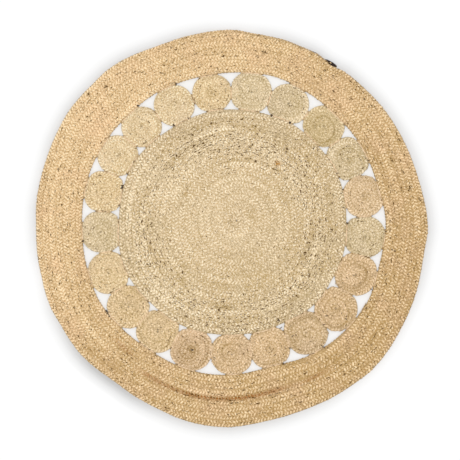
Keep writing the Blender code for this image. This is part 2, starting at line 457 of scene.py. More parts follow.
@dataclass
class Fabric:
    """Vertices, four-cornered faces and what is painted on them, joined from many tubes."""

    verts: list[Points] = field(default_factory=list)
    quads: list[np.ndarray] = field(default_factory=list)
    lays: list[Points] = field(default_factory=list)  # places in the straightened strand
    rows: list[Points] = field(default_factory=list)  # places in the straightened row
    tones: list[np.ndarray] = field(default_factory=list)
    map_corners: list[np.ndarray] = field(default_factory=list)
    count: int = 0

    @classmethod
    def joined(cls, tubes: list["Fabric"]) -> "Fabric":
        """Put some fabrics together.

        Args:
            tubes: The fabrics, which hold a single tube each.

        Returns:
            One fabric of them all.
        """
        whole = cls()
        for one in tubes:
            whole.add(one.verts[0], one.quads[0], one.lays[0], one.tones[0], one.map_corners[0])
            whole.rows[-1] = one.rows[0]
        return whole

    def add(self, verts: Points, quads: np.ndarray, lay: Points, tone: np.ndarray, corners: Points) -> None:
        """Add one tube or surface.

        Args:
            verts: Its points, in metres.
            quads: Corner numbers of its faces, four to a row.
            lay: Each point's place in the straightened strand, in metres.
            tone: How much paler or darker each point is than the finish.
            corners: Each face corner's place on the texture map, in columns of one strip each.
        """
        self.verts.append(verts)
        self.quads.append(quads + self.count)
        self.lays.append(lay)
        self.rows.append(lay)
        self.tones.append(tone)
        self.map_corners.append(corners)
        self.count += len(verts)

    def tube(
        self,
        path: Points,
        half_width: float | np.ndarray,
        half_height: float | np.ndarray,
        sides: int,
        label: float,
        tone: float | np.ndarray,
        upright: Points = UP,
    ) -> None:
        """Sweep an oval along a path, with closed ends.

        Args:
            path: Its middle line, in metres.
            half_width: Half its width at each point, across the path and level.
            half_height: Half its height at each point.
            sides: Number of sides of the oval, which is even.
            label: A number of its own, so that its grain differs from other tubes'.
            tone: How much paler or darker it is at each point.
            upright: Direction that is taken as up, for paths that aren't level.
        """
        count = len(path)
        half_width, half_height, tone = (np.broadcast_to(v, count) for v in (half_width, half_height, tone))
        tangent = unit(np.gradient(path, axis=0))
        side = unit(np.cross(tangent, upright))
        over = np.cross(side, tangent)
        turned = 2 * np.pi * np.arange(sides) / sides
        across = np.sin(turned) * half_width[:, None]
        height = -np.cos(turned) * half_height[:, None]
        verts = path[:, None] + side[:, None] * across[..., None] + over[:, None] * height[..., None]
        steps = np.broadcast_to(lengths_along(path)[:, None], across.shape)
        lay = np.stack([across + label * LABEL_SHIFT[0], height + label * LABEL_SHIFT[1], steps], -1)
        row, column = np.meshgrid(np.arange(count - 1), np.arange(sides), indexing="ij")
        low, high, after = row * sides, (row + 1) * sides, (column + 1) % sides
        quads = np.stack([low + column, high + column, high + after, low + after], -1).reshape(-1, 4)
        columns = np.stack([column, column, column + 1, column + 1], -1) / sides
        rows = np.stack([row, row + 1, row + 1, row], -1).astype(float)
        pairs = np.arange(1, sides // 2)
        front = np.stack([pairs - 1, pairs, sides - 1 - pairs, sides - pairs], -1)
        caps = np.concatenate([front, front[:, ::-1] + (count - 1) * sides])
        self.add(
            verts.reshape(-1, 3),
            np.concatenate([quads, caps]),
            lay.reshape(-1, 3),
            np.repeat(tone, sides),
            np.concatenate([np.stack([columns, rows], -1).reshape(-1, 2), oblongs(CAP_SIZE, len(caps))]),
        )

    def piece(self, name: str, finish: bpy.types.Material, marks: Marks = Marks()) -> bpy.types.Object:
        """Make the mesh object, riding on the rug.

        Args:
            name: Name of the piece.
            finish: Its material.
            marks: What is painted on it by place.

        Returns:
            The new object.
        """
        verts, quads = np.concatenate(self.verts), np.concatenate(self.quads)
        mesh = bpy.data.meshes.new(name)
        mesh.vertices.add(len(verts))
        mesh.vertices.foreach_set("co", verts.ravel().astype(np.float32))
        mesh.loops.add(quads.size)
        mesh.loops.foreach_set("vertex_index", quads.ravel().astype(np.int32))
        mesh.polygons.add(len(quads))
        mesh.polygons.foreach_set("loop_start", np.arange(0, quads.size, 4, dtype=np.int32))
        mesh.polygons.foreach_set("use_smooth", np.ones(len(quads), bool))
        mesh.update(calc_edges=True)
        mesh.validate()
        painted = {"lay": np.concatenate(self.lays), "row": np.concatenate(self.rows)}
        painted |= marks.painted(verts)
        painted["tone"] += np.concatenate(self.tones) * painted["grain"]
        for label, values in painted.items():
            kind, item = ("FLOAT_VECTOR", "vector") if values.ndim == 2 else ("FLOAT", "value")
            layer = mesh.attributes.new(label, kind, "POINT")
            layer.data.foreach_set(item, values.ravel().astype(np.float32))
        flat = mesh.uv_layers.new(name="OFBake")
        flat.uv.foreach_set("vector", packed_map(self.map_corners).ravel().astype(np.float32))
        mesh.materials.append(finish)
        made = bpy.data.objects.new(name, mesh)
        bpy.context.scene.collection.objects.link(made)
        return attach(made, BODY)


# Braid


@dataclass(frozen=True)
class Winding:
    """How a braid is wound: clockwise, outwards from its start, in steps of equal angle."""

    start: float
    steps: int
    per_turn: int
    core: float  # rows that are missing at the eye
    taper: int  # steps over which each end thins out

    def edges(self) -> np.ndarray:
        """Place of the braid's inner edge at each step, in rows from the coil's inside.

        Returns:
            One number for each step, and for one turn more, where they are the outer edge.
        """
        edges = [self.core] * self.per_turn
        for step in range(self.steps + 1):
            edges.append(edges[step] + min(1.0, step / self.taper, (self.steps - step) / self.taper))
        return np.array(edges)

    def band(self, spots: np.ndarray) -> tuple[np.ndarray, np.ndarray, np.ndarray]:
        """The braid's two edges as shares of the way across the coil.

        Args:
            spots: Places along the winding, in steps.

        Returns:
            Bearings, and shares of the inner and of the outer edge, at each place.
        """
        edges = self.edges()
        numbers = np.arange(len(edges))
        last = numbers[self.steps + 1 :]
        last = last[np.argsort(last % self.per_turn)]
        turn = self.per_turn
        rows = np.interp(spots % turn, last % turn, edges[last], period=turn)
        inner = np.interp(spots, numbers, edges) / rows
        outer = np.interp(spots + turn, numbers, edges) / rows
        return self.start - spots * FULL_TURN / turn, inner, outer


@dataclass(frozen=True)
class Outline:
    """A closed line round an eye, read from a solid's edge."""

    eye: Points
    bearings: np.ndarray
    reaches: np.ndarray

    @classmethod
    def about(cls, eye: Points, edge: Points) -> "Outline":
        """Sort the points of an edge about an eye.

        Args:
            eye: Point inside the edge.
            edge: The edge's points, in any order.

        Returns:
            The outline.
        """
        offsets = edge - eye
        order = np.argsort(bearings_of(offsets))
        return cls(eye, bearings_of(offsets)[order], np.hypot(offsets[:, 0], offsets[:, 1])[order])

    def at(self, bearings: np.ndarray) -> np.ndarray:
        """Its reach from the eye at these bearings."""
        return np.interp(bearings % FULL_TURN, self.bearings, self.reaches, period=FULL_TURN)

    def points(self, bearings: np.ndarray, inset: float = 0.0) -> Points:
        """Points on it at these bearings, moved inwards by an inset in metres."""
        return self.eye + (self.at(bearings) - inset)[..., None] * directions(bearings)

    def area(self) -> float:
        """The area inside it, in square metres."""
        ring = self.eye + self.reaches[:, None] * directions(self.bearings)
        following = np.roll(ring, -1, 0)
        return abs(float(np.sum(ring[:, 0] * following[:, 1] - following[:, 0] * ring[:, 1]))) / 2


def edge_points(node: str) -> Points:
    """The points of a solid's outline, which lie at one height.

    Args:
        node: Name of the CAD node.

    Returns:
        Their places in the rug's plane.
    """
    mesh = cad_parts[node].data
    points = np.empty(len(mesh.vertices) * 3, np.float32)
    mesh.vertices.foreach_get("co", points)
    points = points.reshape(-1, 3).astype(float)
    level = np.abs(points[:, 2] - EDGE_HEIGHT) < FOUND_WITHIN
    return np.unique(points[level][:, :2].round(6), axis=0)


def rim_points() -> Points:
    """The points of the border's rim, without those of its opening."""
    edge = edge_points("border_coil")
    return edge[np.hypot(edge[:, 0], edge[:, 1]) > OUTLINE_SPLIT]


@dataclass(frozen=True)
class RimRise:
    """How far the rim stands off the floor, as the edge of such a rug curls a little."""

    start: float = 385.0  # radius from which it rises, in mm
    reach: float = 65.0  # mm over which it rises
    height: float = 1.4  # mm at the rim
    most: float = 1.1  # of the reach, past which it rises no more
    swells: tuple[Patch, ...] = ()  # mm more or less

    def at(self, points: Points) -> np.ndarray:
        """Height of the rug above its usual level.

        Args:
            points: Places in the rug's plane, in metres.

        Returns:
            The height at each of them, in metres.
        """
        radii = np.hypot(points[:, 0], points[:, 1])
        share = np.clip((radii / MM - self.start) / self.reach, 0.0, self.most) ** 2
        return (self.height + sum_of(self.swells, points)) * share * MM


@dataclass(frozen=True)
class BraidLine:
    """Middle line of a braid's row, in even steps."""

    along: np.ndarray
    middle: Points
    across: Points
    width: np.ndarray
    inner_free: np.ndarray  # 1 where no row lies inside it, and 0 where one does
    outer_free: np.ndarray

    @classmethod
    def wound(cls, winding: Winding, place: Place, step: float) -> "BraidLine":
        """Follow a winding.

        Args:
            winding: How the braid is wound.
            place: Gives the point at a bearing and a share of the way across the coil.
            step: Length of a step along the line, in metres.

        Returns:
            The middle line.
        """
        spots = np.linspace(0.0, winding.steps, winding.steps * FINE_STEPS + 1)
        bearings, inner, outer = winding.band(spots)
        near, far = place(bearings, inner), place(bearings, outer)
        middle = (near + far) / 2
        lengths = lengths_along(middle)
        along = np.arange(0.0, lengths[-1], step)
        middle = np.stack([np.interp(along, lengths, middle[:, i]) for i in range(2)], -1)
        forward = unit(np.gradient(middle, axis=0))
        across = np.stack([-forward[:, 1], forward[:, 0]], -1)  # outwards, as the winding is clockwise
        width, inner_free, outer_free = (
            np.interp(along, lengths, values.astype(float))
            for values in (np.linalg.norm(far - near, axis=1), inner < AT_EDGE, outer > 1 - AT_EDGE)
        )
        return cls(along, middle, across, width, inner_free, outer_free)

    def row_places(self, points: Points, each: int, label: int) -> Points:
        """Places in the straightened row, which the flecks and the mottle lie along.

        Args:
            points: Points of a strand, some to each step of the line.
            each: How many to each step.
            label: A number of its own for this braid's flecks.

        Returns:
            Across the row, the braid's own level, and along the row.
        """
        offsets = points[:, :2] - np.repeat(self.middle, each, 0)
        across = np.repeat(self.across, each, 0)
        sideways = (offsets * across).sum(1)
        forwards = offsets[:, 0] * across[:, 1] - offsets[:, 1] * across[:, 0]
        level = np.full(len(points), label * LABEL_STEP)
        return np.column_stack([sideways, level, np.repeat(self.along, each) + forwards])

    def stretched(self, stretches: tuple[Stretch, ...]) -> tuple[np.ndarray, np.ndarray]:
        """What the paler and darker stretches add to the tone.

        Args:
            stretches: The stretches.

        Returns:
            The tone of the row's inner side and of its outer side, at each step.
        """
        inner, outer = np.zeros(len(self.along)), np.zeros(len(self.along))
        for stretch in stretches:
            offsets = marked_place(stretch.bearing, stretch.radius) - self.middle
            nearest = int(np.linalg.norm(offsets, axis=1).argmin())
            half = stretch.radius * MM * math.radians(stretch.spread)
            added = stretch.strength * np.exp(-(((self.along - self.along[nearest]) / half) ** 2))
            outside = bool(offsets[nearest] @ self.across[nearest] > 0)
            if not (stretch.one_side and outside):
                inner += added
            if not stretch.one_side or outside:
                outer += added
        return inner, outer


@dataclass(frozen=True)
class Unevenness:
    """How handwork wanders: pairs of the distance over which it turns, and how much."""

    # Distances in metres.
    plait: tuple[float, float] = (0.11, 0.5)  # radians, of all three strands
    rows: tuple[tuple[float, float], ...] = ((0.22, 1.0), (0.06, 0.7))  # of the plait's row_tone
    sides: tuple[float, float] = (0.12, 1.0)  # of its side_tone
    shades: tuple[float, float] = (0.09, 0.6)  # of its crease_tone and groove_tone
    # Distances in lengths of the plait's repeat.
    phase: tuple[float, float] = (0.7, 0.10)  # radians, of one strand
    width: tuple[float, float] = (0.5, 0.06)
    thickness: tuple[float, float] = (0.5, 0.05)
    across: tuple[float, float] = (0.4, 0.22 * MM)
    height: tuple[float, float] = (0.4, 0.16 * MM)
    tone: tuple[float, float] = (2.5, 0.07)


@dataclass(frozen=True)
class Plait:
    """Sizes of a flat three-strand braid, as shares of its row's width where they follow it."""

    period: float  # length in which a strand crosses and comes back
    width_share: float = 0.152  # half a strand's width
    narrow: float = 0.93  # of that width, where strands cross or turn
    broaden: float = 0.13  # how much more it is between
    overlap: float = 1.2 * MM  # how far neighbouring rows press into each other
    edge_overlap: float = 0.1 * MM  # the same, where the row is the edge of its coil
    strand_half_height: float = 1.9 * MM
    lift: float = 2.1 * MM  # how far a strand rises and dips
    start_relief: float = 1.0  # share of the lift at the braid's start, where it is pulled flatter
    end_relief: float = 1.0
    lead: float = 0.0  # how far its rise runs ahead of its swing, in radians
    lean: float = 0.0  # how much higher it lies at the row's outer side than in its middle
    floor_gap: float = 0.04 * MM
    crown: float = 0.3 * MM  # how far a strand may stand over the rug's thickness
    least_width: float = 3.5 * MM
    usual_width: float = 15.0 * MM
    thinning: float = 0.6  # power by which a narrower row is thinner
    row_tone: float = 0.12  # how much rows differ in tone
    side_tone: float = 0.08  # how much the two sides of a row differ
    crease_tone: float = -0.16  # where the rows press together and catch less light
    crease_power: int = 6  # the higher, the narrower
    groove_tone: float = -0.06  # painted shade in the middle of a row, in the groove between its two columns of lobes
    groove_power: int = 8
    depth_shading: float = 0.235  # painted shade: how much paler a strand is painted with each mm of height, and darker where it lies deep in shade
    depth_level: float = 6.9  # mm of height at which it is neither paler nor darker
    side_slope: float = 1.5  # how sharply a one-sided stretch ends at the row's middle
    step: float = 2.3 * MM
    sides: int = 8
    uneven: Unevenness = Unevenness()

    def strands(
        self,
        line: BraidLine,
        rng: np.random.Generator,
        label: int,
        rise: RimRise,
        stretches: tuple[Stretch, ...] = (),
    ) -> list[Fabric]:
        """Plait three strands along a row's middle line.

        Args:
            line: The middle line.
            rng: Seeded source of the small unevenness of handwork.
            label: A number of its own for this braid's grain.
            rise: How far the rug stands off the floor.
            stretches: Paler and darker stretches of row.

        Returns:
            The three strands.
        """
        along, uneven = line.along, self.uneven

        def varied(periods: float, amount: float) -> np.ndarray:
            """A value that wanders over some lengths of the plait's repeat."""
            return wander(rng, along, self.period * periods, amount)

        width = np.maximum(line.width, self.least_width)
        size = np.minimum(1.0, width / self.usual_width) ** self.thinning
        turned = 2 * np.pi * along / self.period + wander(rng, along, *uneven.plait)
        relief = self.start_relief + (self.end_relief - self.start_relief) * np.sqrt(along / along.max())
        inward = self.overlap + (self.edge_overlap - self.overlap) * line.inner_free
        outward = self.overlap + (self.edge_overlap - self.overlap) * line.outer_free
        row_tone = sum(wander(rng, along, step, self.row_tone * part) for step, part in uneven.rows)
        side_tone = wander(rng, along, uneven.sides[0], self.side_tone * uneven.sides[1])
        crease_tone = self.crease_tone * (1 + wander(rng, along, *uneven.shades))
        groove_tone = self.groove_tone * (1 + wander(rng, along, *uneven.shades))
        inner_tone, outer_tone = line.stretched(stretches)
        made = []
        for number in range(3):
            phase = turned + 2 * np.pi * number / 3 + varied(*uneven.phase)
            swing = np.sin(phase)
            half_width = self.width_share * width * (self.narrow + self.broaden * np.sin(2 * phase) ** 2)
            half_width *= 1 + varied(*uneven.width)
            half_height = self.strand_half_height * size * (1 + varied(*uneven.thickness))
            reach = (width + inward + outward) / 2 - self.width_share * width
            across = (outward - inward) / 2 + reach * swing + varied(*uneven.across)
            height = RUG_THICKNESS / 2 + self.lift * size * relief * np.sin(2 * phase + self.lead)
            height += self.lean * swing + self.lift * size * (1 - relief) * LEVELLED
            height += varied(*uneven.height)
            top = RUG_THICKNESS + self.crown - half_height
            height = np.clip(height, half_height + self.floor_gap, top)
            level = line.middle + line.across * across[:, None]
            tone = row_tone + varied(*uneven.tone) + side_tone * swing
            free = np.where(swing > 0, line.outer_free, line.inner_free)
            tone += crease_tone * swing**self.crease_power * (1 - free)
            tone += groove_tone * np.cos(phase) ** self.groove_power
            outer_part = np.clip(0.5 + self.side_slope * swing, 0.0, 1.0)
            tone += inner_tone * (1 - outer_part) + outer_tone * outer_part
            strand = Fabric()
            own_label = label * 3 + number + 1
            strand.tube(at_height(level, height), half_width, half_height, self.sides, own_label, tone)
            # Painted shade: the lower a strand's surface lies, the darker it is painted, and its crowns
            # paler.
            strand.tones[0] += self.depth_shading * (strand.verts[0][:, 2] / MM - self.depth_level)
            strand.rows[0] = line.row_places(strand.verts[0], self.sides, label)
            strand.verts[0][:, 2] += np.repeat(rise.at(level), self.sides)
            made.append(strand)
        return made


# Sub-assemblies


@dataclass(frozen=True)
class Heart:
    """The thin closed layer inside a coil, which shows only as shade between the strands and is painted
    darker for it.
    """

    low: float = 2.4 * MM
    high: float = 5.6 * MM
    inset: float = 1.2 * MM
    eye_share: float = 0.02  # of the way out, where a disc's innermost points lie
    # painted shade: the heart lies deep between the strands, so it is painted darker than the braid
    tone: float = -0.30
    segments: int = 144
    rings: int = 6
    face_size: tuple[float, float] = (0.3, 1.0)  # on the texture map

    def disc(self, outline: Outline) -> Fabric:
        """The heart of a round coil, inside its outline."""
        out = outline.points(bearings_round(self.segments), self.inset) - outline.eye
        return self.layer([outline.eye + out * share for share in self.shares(self.eye_share)])

    def ring(self, rim: Outline, opening: Outline) -> Fabric:
        """The heart of the border, between its opening and its rim."""
        bearings = bearings_round(self.segments)
        outer, inner = rim.points(bearings, self.inset), opening.points(bearings, -self.inset)
        return self.layer([inner + (outer - inner) * share for share in self.shares(0.0)])

    def shares(self, first: float) -> np.ndarray:
        """Places of the rings of points, from the inside to the outside."""
        return np.linspace(first, 1.0, self.rings + 1)

    def layer(self, loops: list[Points]) -> Fabric:
        """Close two levels of loops into one thin solid.

        Args:
            loops: Loops of points from the inside to the outside.

        Returns:
            The closed layer.
        """
        count, below = self.segments, len(loops) * self.segments
        level = np.concatenate(loops)
        verts = np.concatenate([at_height(level, self.high), at_height(level, self.low)])
        number = np.arange(count)
        after = (number + 1) % count
        last = below - count
        faces = []
        for a in range(0, last, count):
            b = a + count
            faces.append(np.stack([a + number, b + number, b + after, a + after], -1))
            faces.append(np.stack([a + after, b + after, b + number, a + number], -1) + below)
        one, two = last + number, last + after
        faces.append(np.stack([one, one + below, two + below, two], -1))
        faces.append(np.stack([after, after + below, number + below, number], -1))
        quads = np.concatenate(faces)
        corners = oblongs(self.face_size, len(quads))
        corners[:, 1] += np.repeat(np.arange(len(quads)), 4)
        made = Fabric()
        made.add(verts, quads, verts.copy(), np.full(len(verts), self.tone), corners)
        return made


@dataclass
class BraidedCoil:
    """A coil of braid: its heart, which is a thin sheet, and its strands."""

    node: str
    slot: str
    winding: Winding
    plait: Plait
    marks: Marks = Marks()
    seed: int = 1
    apart: bool = False  # whether each strand is a piece of its own
    heart: Heart = Heart()
    rise: RimRise = RimRise(height=0.0)
    stretches: tuple[Stretch, ...] = ()
    eye_shading: float = 0.0  # painted shade in the coil's eye: how much paler its eye is than the rest of it, mostly darker
    eye_size: float = 11.0  # mm

    def painted(self) -> Marks:
        """Add the painted shade of the coil's eye to its marks.

        Returns:
            The marks that its pieces are painted with.
        """
        offset = (self.outline().eye - np.array(MARKS_MIDDLE)) / MM
        bearing, radius = float(bearings_of(offset[None])[0]), float(np.hypot(*offset))
        eye = spot(bearing, max(radius, 1.0), self.eye_size, self.eye_size, self.eye_shading)
        return replace(self.marks, tones=(*self.marks.tones, eye))

    def outline(self) -> Outline:
        """The coil's outline about its eye."""
        edge = edge_points(self.node)
        return Outline.about((edge.min(0) + edge.max(0)) / 2, edge)

    def edge(self) -> Points:
        """The line that the coils next to it are sewn to."""
        return self.outline().points(np.arange(0.0, FULL_TURN, SMALL_EDGE_STEP))

    def place(self) -> Place:
        """How a bearing and a share of the way out become a point in the rug's plane.

        Returns:
            The function that places them.
        """
        outline = self.outline()
        mean = float(outline.reaches.mean())

        def at(bearings: np.ndarray, shares: np.ndarray) -> Points:
            """The point at each bearing and share."""
            formed = mean + (outline.at(bearings) - mean) * shares**2
            return outline.eye + (formed * shares)[:, None] * directions(bearings)

        return at

    def layer(self) -> tuple[Fabric, float]:
        """The heart and the coil's flat area."""
        outline = self.outline()
        return self.heart.disc(outline), outline.area()

    def build(self, jute: bpy.types.Material) -> list[bpy.types.Object]:
        """Args:
            jute: Finish of the braid.

        Returns:
            The pieces.
        """
        rng = np.random.default_rng(self.seed)
        line = BraidLine.wound(self.winding, self.place(), self.plait.step)
        strands = self.plait.strands(line, rng, self.seed, self.rise, self.stretches)
        marks = self.painted()
        fabrics = {f"strand_{number}": strand for number, strand in enumerate(strands, 1)}
        if not self.apart:
            fabrics = {"braid": Fabric.joined(strands)}
        pieces = [fabric.piece(f"{self.node}_{name}", jute, marks) for name, fabric in fabrics.items()]
        layer, area = self.layer()
        layer.verts[0][:, 2] += self.rise.at(layer.verts[0])
        heart = layer.piece(f"{self.node}_heart", jute, replace(marks, barks=(), stains=()))
        for piece in [heart, *pieces]:
            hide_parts(self.node)
        low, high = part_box(self.node)
        return [heart, *pieces]


@dataclass
class CentreCoil(BraidedCoil):
    """The centre, whose spiral starts a little off its middle."""

    def outline(self) -> Outline:
        """The centre's outline about the eye of its spiral."""
        return Outline.about(np.array(CENTRE_EYE), edge_points(self.node))

    def edge(self) -> Points:
        """The line that the small coils are sewn to."""
        return self.outline().points(np.arange(0.0, FULL_TURN, LARGE_EDGE_STEP))


@dataclass
class BorderCoil(BraidedCoil):
    """The border, between the ring of small coils and the rim."""

    def lines(self) -> tuple[Outline, Outline]:
        """Read the border's two edges.

        Returns:
            The rim about the rug's middle, and the opening about its own.
        """
        edge = edge_points(self.node)
        within = edge[np.hypot(edge[:, 0], edge[:, 1]) <= OUTLINE_SPLIT]
        opening = Outline.about((within.min(0) + within.max(0)) / 2, within)
        return Outline.about(np.zeros(2), rim_points()), opening

    def edge(self) -> Points:
        """The line that the small coils are sewn to."""
        return self.lines()[1].points(np.arange(0.0, FULL_TURN, LARGE_EDGE_STEP))

    def place(self) -> Place:
        """How a bearing and a share of the way out become a point in the rug's plane.

        Returns:
            The function that places them.
        """
        rim, opening = self.lines()

        def at(bearings: np.ndarray, shares: np.ndarray) -> Points:
            """The point at each bearing and share."""
            inner, outer = opening.points(bearings), rim.points(bearings)
            return inner + (outer - inner) * shares[:, None]

        return at

    def layer(self) -> tuple[Fabric, float]:
        """The heart and the border's flat area."""
        rim, opening = self.lines()
        return self.heart.ring(rim, opening), rim.area() - opening.area()


@dataclass(frozen=True)
class Seam:
    """A line along which two neighbouring coils are sewn together."""

    middle: Points
    gap: np.ndarray  # between the two coils' edges, in metres

    @classmethod
    def between(cls, one: Points, other: Points, reach: float) -> list["Seam"]:
        """Follow two edges where they run close together.

        Args:
            one: Points of the first edge, in order.
            other: Points of the second edge.
            reach: Distance in metres that counts as close.

        Returns:
            The seams.
        """
        away = np.linalg.norm(one[:, None] - other[None], axis=2)
        nearest = away.argmin(1)
        gaps = away[np.arange(len(one)), nearest]
        close = gaps < reach
        order = (np.arange(len(one)) + int(np.argmin(close))) % len(one)
        order = order[close[order]][::2]
        middle = (one[order] + other[nearest[order]]) / 2
        breaks = np.flatnonzero(np.linalg.norm(np.diff(middle, axis=0), axis=1) > SEAM_BREAK) + 1
        runs = zip(np.split(middle, breaks), np.split(gaps[order], breaks))
        return [cls(line, gap) for line, gap in runs if len(line) > 2]


@dataclass(frozen=True)
class SeamTwine:
    """Jute twine that laces neighbouring coils together, low in the groove between them."""

    reach: float = 1.7 * MM
    cover: float = 1.2 * MM  # how far it goes in under each coil's edge
    half_height: float = 1.1 * MM
    height: float = 5.4 * MM
    sides: int = 6
    tone: float = 0.22
    end_tone: float = -0.55  # near the gaps, where the coils part and shade it
    end_length: float = 6.0 * MM
    first_label: int = 200  # past those of the coils

    def seams(self, small: list[BraidedCoil], around: list[BraidedCoil]) -> list[Seam]:
        """Find the seams of the ring of small coils.

        Args:
            small: The small coils, in order round the ring.
            around: The coils that all of them touch.

        Returns:
            The seams.
        """
        edges = [coil.edge() for coil in small]
        rest = [coil.edge() for coil in around]
        found = []
        for edge, following in zip(edges, edges[1:] + edges[:1]):
            for other in [following, *rest]:
                found += Seam.between(edge, other, self.reach)
        return found

    def build(self, seams: list[Seam], jute: bpy.types.Material) -> bpy.types.Object:
        """Lay the twine along all the seams.

        Args:
            seams: The seams.
            jute: Finish of the twine.

        Returns:
            The piece.
        """
        twine = Fabric()
        for label, seam in enumerate(seams, self.first_label):
            number = np.arange(len(seam.middle))
            thinned = np.clip(0.5 + np.minimum(number, number[::-1]) / 4, 0.0, 1.0)
            along = lengths_along(seam.middle)
            from_end = np.minimum(along, along[-1] - along)
            tone = self.tone + (self.end_tone - self.tone) * np.exp(-((from_end / self.end_length) ** 2))
            path, half_width = at_height(seam.middle, self.height), (seam.gap / 2 + self.cover) * thinned
            twine.tube(path, half_width, self.half_height, self.sides, label, tone)
        made = twine.piece("seam_twine", jute)
        return made


@dataclass(frozen=True)
class Stitch:
    """A place where dark thread is wound over a seam, partly painted shade where a gap's corner lies deep
    in shade.
    """

    bearing: float
    radius: float  # mm from the rug's middle
    wraps: int = 1


@dataclass(frozen=True)
class Bundle:
    """Dark threads that lie side by side in a slit and taper to one, partly painted shade: a dark thing
    laid where the deep slit is in shade.
    """

    start: tuple[float, float]  # mm
    end: tuple[float, float]
    start_width: float = 3.8
    end_width: float = 1.0
    blunt: tuple[float, float] = (0.1, 0.8)  # how soon it is full wide, and its first width's share
    half_height: float = 1.2 * MM
    sides: int = 8


@dataclass(frozen=True)
class DarkSewingAndShade:
    """Dark thread over the seams, at the corners of the gaps and in one slit, which also stands in for the
    deep shade there.
    """

    stitches: tuple[Stitch, ...]
    bundles: tuple[Bundle, ...]
    thread: float = 1.4 * MM
    pitch: float = 1.5 * MM
    half_length: float = 2.5 * MM
    length_spread: float = 0.2  # how much stitches differ in length
    slant: float = 0.8 * MM  # how far they lean, give or take
    arch: float = 1.75  # radians that a stitch goes over, each way from its crown
    spring: float = 5.4 * MM  # height from which a stitch arches
    crown: float = 7.9 * MM
    depth: float = 5.4 * MM  # height at which a bundle lies
    sides: int = 6
    steps: int = 11
    seed: int = 7
    bundle_label: int = 90  # past those of the stitches

    def build(self, seams: list[Seam], thread: bpy.types.Material) -> bpy.types.Object:
        """Sew the stitches.

        Args:
            seams: The seams, whose directions the stitches cross.
            thread: Finish of the thread.

        Returns:
            The piece.
        """
        middles = np.concatenate([seam.middle for seam in seams])
        ways = np.concatenate([np.gradient(seam.middle, axis=0) for seam in seams])
        sewn = Fabric()
        rng = np.random.default_rng(self.seed)
        turned = np.linspace(-self.arch, self.arch, self.steps)
        height = self.spring + (self.crown - self.spring) * np.cos(turned)
        for number, stitch in enumerate(self.stitches):
            place = marked_place(stitch.bearing, stitch.radius)
            way = unit(ways[np.linalg.norm(middles - place, axis=1).argmin()])
            over = np.array([-way[1], way[0]])
            for wrap in range(stitch.wraps):
                shift = (wrap - (stitch.wraps - 1) / 2) * self.pitch
                reach = self.half_length * (1 + self.length_spread * rng.standard_normal())
                slant = self.slant * rng.standard_normal()
                level = place + way * shift + np.outer(np.sin(turned), over * reach + way * slant)
                path, half = at_height(level, height), self.thread / 2
                sewn.tube(path, half, half, self.sides, number, 0.0, np.append(way, 0.0))
        for number, bundle in enumerate(self.bundles, self.bundle_label):
            share = np.linspace(0.0, 1.0, self.steps)
            ends = np.array([bundle.start, bundle.end])
            level = (ends[0] * (1 - share[:, None]) + ends[1] * share[:, None]) * MM
            widths = [bundle.blunt[1], 1.0, bundle.end_width / bundle.start_width]
            half = bundle.start_width * MM / 2 * np.interp(share, [0.0, bundle.blunt[0], 1.0], widths)
            path, half_height = at_height(level, self.depth), np.minimum(half, bundle.half_height)
            sewn.tube(path, half, half_height, bundle.sides, number, 0.0)
        made = sewn.piece("dark_sewing_and_shade", thread)
        return made


